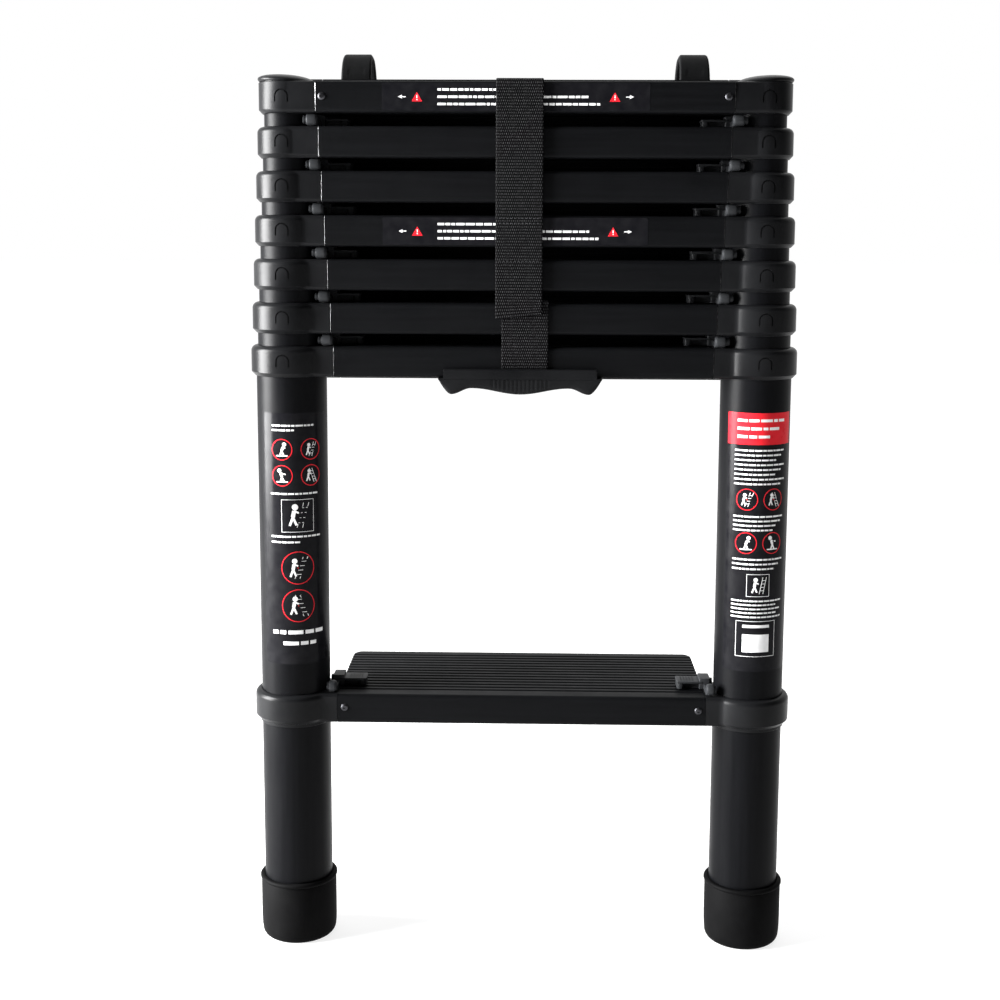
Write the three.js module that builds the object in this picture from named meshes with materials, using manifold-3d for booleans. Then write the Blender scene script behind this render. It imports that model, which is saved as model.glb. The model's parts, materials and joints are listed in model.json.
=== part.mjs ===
// A telescoping ladder, closed: seven nested tubes in each rail, a wide bottom step
// and seven rungs, each held between two moulded collars.
// Millimetres. +Z is up, X runs along the rungs and the climber stands on the -Y side.

import * as THREE from 'three';
import { mergeVertices } from 'three/addons/utils/BufferGeometryUtils.js';
import Module from 'manifold-3d';

const wasm = await Module();
wasm.setup();

// ---------------------------------------------------------------- driving dimensions

const railSpacing = 408; // from one rail axis to the other
const tubeCount = 7; // tubes in each rail, numbered from the outermost
const rungCount = 8; // rung 1 is the bottom step
const outerTubeRadius = 30.7;
const tubeWall = 1.4;
const slideGap = 0.3; // radial air between one tube and the next
const innerTubeLength = 362;
const fit = 0.3; // air between two pieces that touch
const stepTop = 233.5; // tread of the bottom step
const secondRungTop = 543.6;
const closedPitch = 37.4; // rung to rung when closed
const openPitch = 310; // rung to rung when open, as from the step to rung 2
const rungHeight = 26.5;
const rungDepth = 51;
const rungWall = 1.6;
const rungCorner = 3;
const rearLipHeight = (closedPitch - rungHeight - fit) / 2; // above and below the rung's rear
const rearLipStart = 18.5; // where it begins to rise, behind the rail axis
const rearLipTop = 1.5; // its flat crest
const treadDepth = 142; // of the bottom step, front to back
const grooveDepth = 1; // of the tread's grooves
const roundSides = 20; // flats round every tube, bore and collar

// collars
const collarWall = 4.3;
const stepCollarRadius = 36.4;
const collarTaper = 4; // height of the tapered skirt
const collarTaperIn = 2.4;
const lipHeight = 2; // covers the end of the collar's own tube
const neckReach = 39.9; // rail axis to the joint with rung 2
const neckReachStep = 2.17; // less for each rung above it
const stepNeckReach = 40.2;
const spigotLength = 22; // part of a collar that plugs into its rung
const neckLipLength = 12; // the rung's rear lips run on along the neck
const capRise = 7; // dome on the top collars
const capLean = 8; // how far the dome's crown leans outwards
const skirtRise = 3; // thin ring under the bottom step's collars
const skirtWall = 1.2;

// release slides
const padLength = 24.5;
const padOverhang = 1; // pad past the joint, over the collar
const padFront = -1;
const padBack = 17;
const padHeight = 7.5;
const lugLength = 10;
const lugOverhang = 6.7; // lug past the joint
const lugHeight = 10.3;
const sleeveRadius = 5; // spring sleeve in front of the lug
const sleeveSetForward = 19.6; // its axis in front of the rail axis
const sleeveLength = 14.5;
const stepSleeveRadius = 5.2;
const stepSleeveSetForward = 18.5;
const stepSleeveLength = 11;
const sleeveStart = 1; // sleeve past the joint, over the rung
const sleeveWeb = 3; // web that joins sleeve and lug
const pinRadius = 3.5;
const pinHeight = 5.3; // pin axis above the rung
const pinSetBack = 8; // pin axis behind the rail axis
const pinAir = 0.5; // between a slide and the tube beside it

// feet
const footRadius = 35.2;
const footHeight = 57.5;
const footFloor = 12; // rubber under the tube
const footFlatRadius = 28;
const footRound = 9; // height of the rounded lower edge
const footRimDrop = 6;
const footWaistIn = 0.9;

// carry handle
const handleCentre = -2.5;
const handleHalfTop = 66;
const handleHalfWide = 70.5;
const handleLip = 8; // how far its lips reach up the rung
const handleDrop = 14;
const handleDip = 8.6;
const handleDipAt = 42;
const handleLobeAt = 59.5;
const handleLipWall = 5;
const strapSlot = 2.5; // between the rung and the front lip, for the strap

// storage strap
const strapWidth = 40;
const strapCentre = -4;
const strapThickness = 1.5;
const strapAir = 0.5;
const strapTailEnd = 568; // height of the loose end
const strapBackEnd = 747; // height of the fixed end, behind the top rung
const tabTop = 584;
const tabCentre = 1.5;

// roof hooks
const hookCentre = 148;
const hookHalfBottom = 14.6;
const hookHalfTop = 12.6;
const hookThickness = 5;
const hookTop = 798;
const hookBottom = 746;
const hookReach = 24; // radius of the bend, at the middle of the bar
const hookTip = 758;
const hookShoulder = 768; // where the sides start to close in
const hookCorner = 4; // cut off each upper corner

const halfDepth = rungDepth / 2;
const railX = railSpacing / 2;

// ---------------------------------------------------------------- derived sizes

const tubeRadius = (tube) => outerTubeRadius - (tube - 1) * (tubeWall + slideGap);
const carrierOf = (rung) => Math.max(1, rung - 1); // the tube that carries a rung
const rungTop = (rung) => (rung === 1 ? stepTop : secondRungTop + (rung - 2) * closedPitch);
const collarRadius = (rung) =>
  rung === 1 ? stepCollarRadius : tubeRadius(carrierOf(rung)) + collarWall;
const jointX = (rung) =>
  railX - (rung === 1 ? stepNeckReach : neckReach - (rung - 2) * neckReachStep);
const slideTravel = openPitch - closedPitch;

// ---------------------------------------------------------------- materials

const material = (color, roughness, metalness) =>
  new THREE.MeshStandardMaterial({ color, roughness, metalness });
const coatedAluminium = material(0x2a2b2e, 0.42, 0.35);
const blackNylon = material(0x232427, 0.6, 0);
const blackRubber = material(0x19191a, 0.85, 0);
const webbing = material(0x2b2b2d, 0.95, 0);
const slideNylon = material(0x3a3b3e, 0.5, 0);
const hookCoat = material(0x161617, 0.7, 0);

// ---------------------------------------------------------------- solids

function toSolid(geometry) {
  geometry.deleteAttribute('normal');
  geometry.deleteAttribute('uv');
  const merged = mergeVertices(geometry);
  return new wasm.Manifold(
    new wasm.Mesh({
      numProp: 3,
      vertProperties: new Float32Array(merged.attributes.position.array),
      triVerts: new Uint32Array(merged.index.array),
    }),
  );
}

function toGeometry(solid) {
  const mesh = solid.getMesh();
  const geometry = new THREE.BufferGeometry();
  geometry.setAttribute('position', new THREE.BufferAttribute(mesh.vertProperties, 3));
  geometry.setIndex(new THREE.BufferAttribute(mesh.triVerts, 1));
  return geometry;
}

const joinAll = (solids) => solids.reduce((sum, solid) => sum.add(solid));

// A block between two corners.
function block(low, high) {
  const size = high.map((value, i) => value - low[i]);
  const geometry = new THREE.BoxGeometry(...size);
  geometry.translate(...high.map((value, i) => (value + low[i]) / 2));
  return toSolid(geometry);
}

// A profile of [radius, height] points turned about the vertical line at (x, 0).
function turned(profile, x = 0) {
  const points = profile.map(([radius, height]) => new THREE.Vector2(radius, height));
  const geometry = new THREE.LatheGeometry(points, roundSides);
  geometry.rotateX(Math.PI / 2);
  geometry.translate(x, 0, 0);
  return toSolid(geometry);
}

const disc = (radius, low, high, x = 0) =>
  turned([[0, low], [radius, low], [radius, high], [0, high]], x);

// A cylinder along X.
function rod(radius, fromX, toX, y, z, sides = 12) {
  const geometry = new THREE.CylinderGeometry(radius, radius, toX - fromX, sides);
  geometry.rotateZ(Math.PI / 2);
  geometry.translate((fromX + toX) / 2, y, z);
  return toSolid(geometry);
}

// A shape drawn in (Y, Z) and extruded along X.
function extrudeX(shape, fromX, toX, curveSegments = 3) {
  const geometry = new THREE.ExtrudeGeometry(shape, {
    depth: toX - fromX,
    bevelEnabled: false,
    curveSegments,
  });
  geometry.applyMatrix4(
    new THREE.Matrix4().makeBasis(
      new THREE.Vector3(0, 1, 0),
      new THREE.Vector3(0, 0, 1),
      new THREE.Vector3(1, 0, 0),
    ),
  );
  geometry.translate(fromX, 0, 0);
  return toSolid(geometry);
}

// A shape drawn in (X, Z) and extruded along Y.
function extrudeY(shape, fromY, toY, curveSegments = 4) {
  const geometry = new THREE.ExtrudeGeometry(shape, {
    depth: toY - fromY,
    bevelEnabled: false,
    curveSegments,
  });
  geometry.rotateX(Math.PI / 2);
  geometry.translate(0, toY, 0);
  return toSolid(geometry);
}

function roundedRectangle(low, high, radius, path = new THREE.Shape()) {
  const [a, b] = low;
  const [c, d] = high;
  path.moveTo(a + radius, b);
  path.lineTo(c - radius, b);
  path.absarc(c - radius, b + radius, radius, -Math.PI / 2, 0);
  path.lineTo(c, d - radius);
  path.absarc(c - radius, d - radius, radius, 0, Math.PI / 2);
  path.lineTo(a + radius, d);
  path.absarc(a + radius, d - radius, radius, Math.PI / 2, Math.PI);
  path.lineTo(a, b + radius);
  path.absarc(a + radius, b + radius, radius, Math.PI, Math.PI * 1.5);
  return path;
}

// ---------------------------------------------------------------- tubes

// The lock pin of rung n enters tube n when its section is fully out.
function pinHole(tube) {
  const height = rungTop(tube) + pinHeight - slideTravel;
  const reach = tubeRadius(tube);
  return rod(pinRadius + pinAir, railX - reach - 1, railX - reach / 2, pinSetBack, height, 8);
}

function tubeSolid(tube) {
  const radius = tubeRadius(tube);
  const top = rungTop(tube + 1) - lipHeight - fit;
  const bottom = tube === 1 ? footFloor + fit : top - innerTubeLength;
  const inner = radius - tubeWall;
  const wall = turned(
    [[inner, bottom], [radius, bottom], [radius, top], [inner, top], [inner, bottom]],
    railX,
  );
  return tube === 1 ? wall : wall.subtract(pinHole(tube));
}

// ---------------------------------------------------------------- collars

// The part of a collar that matches the rung's outside and the part inside the rung.
function neckAndSpigot(rung) {
  const top = rungTop(rung);
  const bottom = top - rungHeight;
  const joint = jointX(rung);
  const neck = extrudeX(
    roundedRectangle([-halfDepth, bottom], [halfDepth, top], rungCorner),
    joint + fit,
    railX,
  );
  const inset = rungWall + fit;
  const roof = top - inset - (rung === 1 ? grooveDepth : 0);
  const spigot = extrudeX(
    roundedRectangle(
      [-halfDepth + inset, bottom + inset],
      [halfDepth - inset, roof],
      rungCorner - rungWall,
    ),
    joint - spigotLength,
    joint + 2,
    1,
  );
  return rung === 1 ? neck.add(spigot) : joinAll([neck, spigot, neckLips(rung)]);
}

function neckLips(rung) {
  const top = rungTop(rung);
  const joint = jointX(rung);
  const shape = new THREE.Shape();
  shape.moveTo(0, top - rungHeight);
  traceRearLips(shape, top);
  shape.lineTo(0, top);
  return extrudeX(shape, joint + fit, joint + neckLipLength);
}

// The part of a rung's outline that runs up its rear, from its underside to its top.
function traceRearLips(shape, top) {
  const bottom = top - rungHeight;
  const crest = halfDepth - rearLipTop;
  shape.lineTo(rearLipStart, bottom);
  shape.lineTo(crest, bottom - rearLipHeight);
  shape.lineTo(halfDepth, bottom - rearLipHeight);
  shape.lineTo(halfDepth, top + rearLipHeight);
  shape.lineTo(crest, top + rearLipHeight);
  shape.lineTo(rearLipStart, top);
}

function collarSolid(rung) {
  const top = rungTop(rung);
  const bottom = top - rungHeight;
  const radius = collarRadius(rung);
  const tube = tubeRadius(carrierOf(rung));
  const ring = turned(
    [
      [0, bottom],
      [radius - collarTaperIn, bottom],
      [radius, bottom + collarTaper],
      [radius, top],
      [0, top],
    ],
    railX,
  );
  const body = ring.add(neckAndSpigot(rung));
  const bore = tube + fit;
  if (rung === 1) {
    const skirt = disc(bore + skirtWall, bottom - skirtRise, bottom + 1, railX);
    return body.add(skirt).subtract(disc(bore, bottom - skirtRise - 1, top + 1, railX));
  }
  const seat = body.subtract(disc(bore, bottom - 1, top - lipHeight, railX));
  if (rung === rungCount) return seat.add(domeSolid(radius, top));
  return seat.subtract(disc(tube - tubeWall, top - lipHeight - 1, top + 1, railX));
}

// The closed crown of a top collar, which leans outwards.
function domeSolid(radius, base) {
  const steps = 4;
  const profile = [[0, base - 1], [radius - 0.6, base - 1]];
  for (let i = 0; i <= steps; i += 1) {
    const angle = (i / steps) * (Math.PI / 2);
    profile.push([(radius - 0.6) * Math.cos(angle), base + capRise * Math.sin(angle)]);
  }
  profile[profile.length - 1][0] = 0;
  const points = profile.map(([r, z]) => new THREE.Vector2(r, z));
  const geometry = new THREE.LatheGeometry(points, roundSides);
  geometry.rotateX(Math.PI / 2);
  const position = geometry.attributes.position;
  for (let i = 0; i < position.count; i += 1) {
    const rise = Math.max(0, position.getZ(i) - base) / capRise;
    position.setX(i, position.getX(i) + capLean * rise);
  }
  geometry.translate(railX, 0, 0);
  return toSolid(geometry);
}

// ---------------------------------------------------------------- rungs and step

// A box with a lip along its rear, so that closed rungs all but meet there.
function rungSolid(rung) {
  const top = rungTop(rung);
  const bottom = top - rungHeight;
  const shape = new THREE.Shape();
  shape.moveTo(-halfDepth + rungCorner, bottom);
  traceRearLips(shape, top);
  shape.lineTo(-halfDepth + rungCorner, top);
  shape.absarc(-halfDepth + rungCorner, top - rungCorner, rungCorner, Math.PI / 2, Math.PI);
  shape.lineTo(-halfDepth, bottom + rungCorner);
  shape.absarc(-halfDepth + rungCorner, bottom + rungCorner, rungCorner, Math.PI, Math.PI * 1.5);
  shape.holes.push(
    roundedRectangle(
      [-halfDepth + rungWall, bottom + rungWall],
      [halfDepth - rungWall, top - rungWall],
      rungCorner - rungWall,
      new THREE.Path(),
    ),
  );
  return extrudeX(shape, -jointX(rung), jointX(rung), 2);
}

// The bottom step: a rung with a grooved tread that carries on behind it.
function stepSolid() {
  const grooves = 15;
  const frontBand = 15; // plain strip at the tread's front edge
  const rearBand = 8;
  const treadThickness = 9;
  const rearCorner = 14;
  const bottom = stepTop - rungHeight;
  const back = treadDepth - halfDepth;
  const reach = jointX(1);
  const pitch = (treadDepth - frontBand - rearBand) / grooves;
  const shape = new THREE.Shape();
  shape.moveTo(-halfDepth, bottom);
  shape.lineTo(halfDepth, bottom);
  shape.lineTo(halfDepth, stepTop - treadThickness);
  shape.lineTo(back, stepTop - treadThickness);
  shape.lineTo(back, stepTop);
  for (let i = grooves - 1; i >= 0; i -= 1) {
    const start = -halfDepth + frontBand + i * pitch;
    shape.lineTo(start + pitch * 0.45, stepTop);
    shape.lineTo(start + pitch * 0.35, stepTop - grooveDepth);
    shape.lineTo(start + pitch * 0.1, stepTop - grooveDepth);
    shape.lineTo(start, stepTop);
  }
  shape.lineTo(-halfDepth + rungCorner, stepTop);
  shape.lineTo(-halfDepth, stepTop - rungCorner);
  const front = roundedRectangle(
    [-halfDepth + rungWall, bottom + rungWall],
    [halfDepth - rungWall, stepTop - rungWall - grooveDepth],
    rungCorner - rungWall,
    new THREE.Path(),
  );
  const rear = roundedRectangle(
    [halfDepth + rungWall, stepTop - treadThickness + rungWall],
    [back - rungWall, stepTop - rungWall - grooveDepth],
    1,
    new THREE.Path(),
  );
  shape.holes.push(front, rear);
  const extrusion = extrudeX(shape, -reach, reach, 1);
  return roundRearCorners(extrusion, reach, back, rearCorner);
}

// Rounds the tread's two rear corners by keeping what lies inside a rounded plan.
function roundRearCorners(extrusion, reach, back, radius) {
  const plan = new THREE.Shape();
  plan.moveTo(-reach, -halfDepth - 1);
  plan.lineTo(reach, -halfDepth - 1);
  plan.lineTo(reach, back - radius);
  plan.absarc(reach - radius, back - radius, radius, 0, Math.PI / 2);
  plan.lineTo(-reach + radius, back);
  plan.absarc(-reach + radius, back - radius, radius, Math.PI / 2, Math.PI);
  const geometry = new THREE.ExtrudeGeometry(plan, {
    depth: rungHeight + 2,
    bevelEnabled: false,
    curveSegments: 5,
  });
  geometry.translate(0, 0, stepTop - rungHeight - 1);
  return extrusion.intersect(toSolid(geometry));
}

// ---------------------------------------------------------------- release slides

// Thumb pad, lug, spring sleeve and lock pin of one rung, on the +X side.
function slideSolid(rung) {
  const top = rungTop(rung);
  const base = top + fit;
  const joint = jointX(rung);
  const clear = tubeRadius(rung) + pinAir;
  const radius = rung === 1 ? stepSleeveRadius : sleeveRadius;
  const sleeveY = -(rung === 1 ? stepSleeveSetForward : sleeveSetForward);
  const pad = block(
    [joint + padOverhang - padLength, padFront, base],
    [joint + padOverhang, padBack, top + padHeight],
  );
  const lug = block(
    [joint + lugOverhang - lugLength, padFront, base],
    [joint + lugOverhang, padBack, top + lugHeight],
  );
  const web = block([joint - sleeveStart, sleeveY, base], [joint + sleeveWeb, padFront, top + pinHeight]);
  const sleeveEnd = joint - sleeveStart + (rung === 1 ? stepSleeveLength : sleeveLength);
  const sleeve = rod(radius, joint - sleeveStart, sleeveEnd, sleeveY, base + radius);
  const pin = rod(pinRadius, joint, railX, pinSetBack, top + pinHeight);
  return joinAll([pad, lug, web, sleeve, pin]).subtract(
    disc(clear, top - 2, top + 2 * stepSleeveRadius + 2, railX),
  );
}

// ---------------------------------------------------------------- feet

function footSolid() {
  const waist = footRadius - footWaistIn;
  return turned(
    [
      [0, 0],
      [footFlatRadius, 0],
      [waist - 2.2, footRound * 0.3],
      [waist, footRound],
      [waist, footHeight - footRimDrop],
      [footRadius, footHeight - footRimDrop + 1],
      [footRadius, footHeight],
      [outerTubeRadius + fit, footHeight],
      [outerTubeRadius + fit, footFloor],
      [0, footFloor],
    ],
    railX,
  );
}

// ---------------------------------------------------------------- carry handle

function handleSolid() {
  const rungBottom = secondRungTop - rungHeight;
  const front = -halfDepth - strapSlot;
  const back = halfDepth + fit;
  const top = rungBottom + handleLip;
  const low = rungBottom - handleDrop - 1;
  const channel = block(
    [-handleHalfWide - 1, front - handleLipWall, low],
    [handleHalfWide + 1, back + handleLipWall, top],
  )
    .subtract(
      block([-handleHalfWide - 2, front, rungBottom - fit], [handleHalfWide + 2, back, top + 1]),
    )
    .subtract(
      block(
        [-handleHalfWide - 2, rearLipStart - fit, rungBottom - rearLipHeight - fit],
        [handleHalfWide + 2, back, rungBottom],
      ),
    );
  const outline = new THREE.Shape();
  outline.moveTo(-handleHalfTop, top);
  outline.lineTo(-handleHalfTop, rungBottom);
  outline.lineTo(-handleHalfWide, rungBottom);
  outline.lineTo(-handleLobeAt, rungBottom - handleDrop);
  outline.splineThru([
    new THREE.Vector2(-handleDipAt, rungBottom - handleDip),
    new THREE.Vector2(0, rungBottom - handleDrop),
    new THREE.Vector2(handleDipAt, rungBottom - handleDip),
    new THREE.Vector2(handleLobeAt, rungBottom - handleDrop),
  ]);
  outline.lineTo(handleHalfWide, rungBottom);
  outline.lineTo(handleHalfTop, rungBottom);
  outline.lineTo(handleHalfTop, top);
  return channel
    .intersect(extrudeY(outline, front - handleLipWall - 1, back + handleLipWall + 1))
    .translate([handleCentre, 0, 0]);
}

// ---------------------------------------------------------------- storage strap

// The webbing is fixed behind the top rung, and hangs over it in front of the others.
function strapSolid() {
  const top = rungTop(rungCount) + strapAir;
  const crest = top + rearLipHeight;
  const tail = -halfDepth - strapAir - strapThickness - strapAir; // back of the hanging part
  const back = halfDepth + strapAir;
  const shape = new THREE.Shape();
  shape.moveTo(tail - strapThickness, strapTailEnd);
  shape.lineTo(tail, strapTailEnd);
  shape.lineTo(tail, top);
  shape.lineTo(back - rearLipTop, crest);
  shape.lineTo(back, crest);
  shape.lineTo(back, strapBackEnd);
  shape.lineTo(back + strapThickness, strapBackEnd);
  shape.lineTo(back + strapThickness, crest + strapThickness);
  shape.lineTo(back - rearLipTop, crest + strapThickness);
  shape.lineTo(tail - strapThickness, top + strapThickness);
  const half = strapWidth / 2;
  return extrudeX(shape, strapCentre - half, strapCentre + half, 1);
}

// The short end that stays behind the handle's front lip.
function tabSolid() {
  const near = -halfDepth - strapAir;
  const half = strapWidth / 2;
  return block(
    [tabCentre - half, near - strapThickness, secondRungTop - rungHeight + 1],
    [tabCentre + half, near, tabTop],
  );
}

// ---------------------------------------------------------------- roof hooks

// A flat bar behind the top rung that bends back over itself.
function hookSolid() {
  const front = halfDepth + fit;
  const centreY = front + hookThickness / 2 + hookReach;
  const outer = hookReach + hookThickness / 2;
  const inner = hookReach - hookThickness / 2;
  const bendZ = hookTop - outer;
  const bar = new THREE.Shape();
  bar.moveTo(front, hookBottom);
  bar.lineTo(front + hookThickness, hookBottom);
  bar.lineTo(front + hookThickness, bendZ);
  bar.absarc(centreY, bendZ, inner, Math.PI, 0, true);
  bar.lineTo(centreY + inner, hookTip);
  bar.lineTo(centreY + outer, hookTip);
  bar.lineTo(centreY + outer, bendZ);
  bar.absarc(centreY, bendZ, outer, 0, Math.PI);
  const profile = extrudeX(bar, hookCentre - hookHalfBottom, hookCentre + hookHalfBottom, 8);
  const face = new THREE.Shape();
  face.moveTo(hookCentre - hookHalfBottom, hookBottom - 1);
  face.lineTo(hookCentre + hookHalfBottom, hookBottom - 1);
  face.lineTo(hookCentre + hookHalfBottom, hookShoulder);
  face.lineTo(hookCentre + hookHalfTop, hookTop - hookCorner);
  face.lineTo(hookCentre + hookHalfTop - hookCorner, hookTop);
  face.lineTo(hookCentre - hookHalfTop + hookCorner, hookTop);
  face.lineTo(hookCentre - hookHalfTop, hookTop - hookCorner);
  face.lineTo(hookCentre - hookHalfBottom, hookShoulder);
  return profile.intersect(extrudeY(face, front - 1, centreY + outer + 1));
}

// ---------------------------------------------------------------- assembly

const ladder = new THREE.Group();

function place(name, solid, finish) {
  const mesh = new THREE.Mesh(toGeometry(solid), finish);
  mesh.name = name;
  ladder.add(mesh);
}

// The same piece on both rails: the left one is the right one's mirror image.
function placePair(name, solid, finish) {
  place(`right_${name}`, solid, finish);
  place(`left_${name}`, solid.mirror([1, 0, 0]), finish);
}

for (let tube = 1; tube <= tubeCount; tube += 1) {
  placePair(`tube_${tube}`, tubeSolid(tube), coatedAluminium);
}
for (let rung = 1; rung <= rungCount; rung += 1) {
  placePair(`collar_${rung}`, collarSolid(rung), blackNylon);
}
place('bottom_step', stepSolid(), coatedAluminium);
for (let rung = 2; rung <= rungCount; rung += 1) {
  place(`rung_${rung}`, rungSolid(rung), coatedAluminium);
}
for (let rung = 1; rung < rungCount; rung += 1) {
  placePair(`release_slide_${rung}`, slideSolid(rung), slideNylon);
}
placePair('foot', footSolid(), blackRubber);
placePair('roof_hook', hookSolid(), hookCoat);
place('carry_handle', handleSolid(), blackNylon);
place('storage_strap', strapSolid(), webbing);
place('strap_tab', tabSolid(), webbing);

// The origin is the middle of the ladder's footprint, on the ground.
const extent = new THREE.Box3().setFromObject(ladder);
ladder.position.y = -(extent.min.y + extent.max.y) / 2;

export default ladder;
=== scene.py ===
"""The looks of a closed telescoping ladder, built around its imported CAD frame.

Metres, +Z up, X along the rungs; the climber stands on the -Y side.
"""

import json
import math

import bmesh
import bpy
import numpy as np
from mathutils import Matrix, Vector


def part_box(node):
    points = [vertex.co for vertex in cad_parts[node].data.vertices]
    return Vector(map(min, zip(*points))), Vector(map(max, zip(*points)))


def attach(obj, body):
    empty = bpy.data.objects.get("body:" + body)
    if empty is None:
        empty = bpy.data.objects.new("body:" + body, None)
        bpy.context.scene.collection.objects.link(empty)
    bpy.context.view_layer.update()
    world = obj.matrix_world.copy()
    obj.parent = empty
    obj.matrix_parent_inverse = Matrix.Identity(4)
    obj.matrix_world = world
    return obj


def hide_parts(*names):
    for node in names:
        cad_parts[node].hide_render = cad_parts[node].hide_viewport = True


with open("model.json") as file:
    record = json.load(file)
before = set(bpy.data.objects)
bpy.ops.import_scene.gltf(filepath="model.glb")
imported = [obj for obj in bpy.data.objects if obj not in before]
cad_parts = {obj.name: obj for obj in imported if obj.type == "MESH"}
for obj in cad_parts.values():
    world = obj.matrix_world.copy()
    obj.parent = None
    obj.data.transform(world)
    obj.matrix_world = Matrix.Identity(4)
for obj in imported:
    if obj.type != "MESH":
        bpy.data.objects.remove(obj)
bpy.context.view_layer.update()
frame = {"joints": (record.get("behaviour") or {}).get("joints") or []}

# --- measures from the frame

MM = 0.001
RUNGS = range(1, 9)
TUBES = range(1, 8)
SIDES = {"right": 1, "left": -1}


def middle(node):
    low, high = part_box(node)
    return (low + high) / 2


def half_width(node):
    low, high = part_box(node)
    return (high.x - low.x) / 2


def rung_node(rung):
    return "bottom_step" if rung == 1 else f"rung_{rung}"


def section_body(rung):
    return "root" if rung <= 2 else f"section_{rung}"


RAIL_X = middle("right_tube_1").x
RAIL_Y = middle("right_tube_1").y
TUBE_RADIUS = {tube: half_width(f"right_tube_{tube}") for tube in TUBES}
RUNG_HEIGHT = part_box("bottom_step")[1].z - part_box("bottom_step")[0].z
REAR_LIP = (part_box("rung_2")[1].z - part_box("rung_2")[0].z - RUNG_HEIGHT) / 2
RUNG_TOP = {rung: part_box(f"rung_{rung}")[1].z - REAR_LIP for rung in RUNGS[1:]}
RUNG_TOP[1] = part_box("bottom_step")[1].z
JOINT_X = {rung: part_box(rung_node(rung))[1].x for rung in RUNGS}
HALF_DEPTH = (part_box("rung_2")[1].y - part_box("rung_2")[0].y) / 2
FRONT_Y = RAIL_Y - HALF_DEPTH  # the rungs' front faces
BACK_Y = RAIL_Y + HALF_DEPTH
TREAD_BACK_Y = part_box("bottom_step")[1].y
COLLAR_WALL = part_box("right_collar_2")[1].x - RAIL_X - TUBE_RADIUS[1]
SLIDE_TRAVEL = max(frame["joints"][0]["range_m"])
FIT = 0.3 * MM
TUBE_WALL = 1.4 * MM
RUNG_WALL = 1.6 * MM
RUNG_CORNER = 3 * MM
LIP_START_Y = RAIL_Y + 18.5 * MM  # where a rung's rear lips begin to rise
LIP_CREST = 1.5 * MM
NECK_LIP = 12 * MM  # how far the lips run on along a collar's neck


def carrier(rung):
    """The tube that carries a rung."""
    return max(1, rung - 1)


def collar_radius(rung):
    if rung == 1:
        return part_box("right_collar_1")[1].x - RAIL_X
    return TUBE_RADIUS[carrier(rung)] + COLLAR_WALL


# --- mesh helpers


def add_object(name, data):
    thing = bpy.data.objects.new(name, data)
    bpy.context.scene.collection.objects.link(thing)
    return thing


class Shape:
    """Points and faces of one piece, gathered shell by shell."""

    def __init__(self, rows=(), finishes=0, torus=False):
        self.points = []
        self.faces = []
        self.finishes = []
        self.yarn = None  # a height for each point of a woven strap
        if len(rows):
            self.skin(rows, finishes, torus)

    def skin(self, rows, finishes=0, torus=False):
        """Skins closed rows of equally many points, and caps both ends or joins them to a torus.

        finishes is one material index, or one for each strip.
        """
        rows = np.asarray(rows, float)
        count, width = rows.shape[:2]
        strips = count if torus else count - 1
        start = len(self.points)
        self.points.extend(map(tuple, rows.reshape(-1, 3).tolist()))
        if isinstance(finishes, int):
            finishes = [finishes] * strips
        for i in range(strips):
            a, b = start + i * width, start + (i + 1) % count * width
            for j in range(width):
                k = (j + 1) % width
                self.faces.append((a + j, a + k, b + k, b + j))
            self.finishes.extend([finishes[i]] * width)
        if not torus:
            last = start + (count - 1) * width
            self.faces.extend((tuple(range(start, start + width)), tuple(range(last, last + width))))
            self.finishes.extend((finishes[0], finishes[-1]))

    def mirrored(self):
        other = Shape()
        other.points = [(-x, y, z) for x, y, z in self.points]
        other.faces, other.finishes = self.faces, self.finishes
        return other

    def to_object(self, name, materials=(), crease=35):
        mesh = bpy.data.meshes.new(name)
        mesh.from_pydata(self.points, [], self.faces)
        mesh.polygons.foreach_set("material_index", self.finishes)
        if self.yarn is not None:
            mesh.attributes.new("yarn", "FLOAT", "POINT").data.foreach_set("value", self.yarn)
        for material in materials:
            mesh.materials.append(material)
        tidy_mesh(mesh, crease)
        return add_object(name, mesh)


def tidy_mesh(mesh, crease):
    """Merges doubled points, turns every face outwards and smooths all but the sharp edges."""
    work = bmesh.new()
    work.from_mesh(mesh)
    bmesh.ops.remove_doubles(work, verts=work.verts, dist=1e-7)
    bmesh.ops.recalc_face_normals(work, faces=work.faces)
    work.to_mesh(mesh)
    work.free()
    mesh.shade_smooth()
    mesh.set_sharp_from_angle(angle=math.radians(crease))


def boolean(thing, tool, operation, crease=35):
    """Cuts or trims a piece with a closed shape, and applies the result."""
    other = tool.to_object("tool", list(thing.data.materials))
    modifier = thing.modifiers.new("cut", "BOOLEAN")
    modifier.operation = operation
    modifier.solver = "EXACT"
    modifier.object = other
    graph = bpy.context.evaluated_depsgraph_get()
    made = bpy.data.meshes.new_from_object(thing.evaluated_get(graph))
    thing.modifiers.clear()
    old = thing.data
    thing.data = made
    bpy.data.meshes.remove(old)
    bpy.data.objects.remove(other)
    made.shade_smooth()
    made.set_sharp_from_angle(angle=math.radians(crease))


def settle(thing, body, replaces=()):
    """The piece rides on its body and stands for its CAD nodes."""
    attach(thing, body)
    if replaces:
        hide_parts(*replaces)
    return thing


def arc(centre, radius, start, end, steps):
    """Points along an arc, from angle start to angle end in degrees."""
    angles = np.radians(np.linspace(start, end, steps + 1))
    return [(centre[0] + radius * math.cos(a), centre[1] + radius * math.sin(a)) for a in angles]


def crosswise(ahead):
    """Unit vectors to the left of rows of plane vectors."""
    ahead = ahead / np.linalg.norm(ahead, axis=1)[:, None]
    return np.stack([-ahead[:, 1], ahead[:, 0]], axis=1)


def bearings(count):
    """Evenly spaced angles all the way round."""
    return np.arange(count) / count * 2 * math.pi


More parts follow.
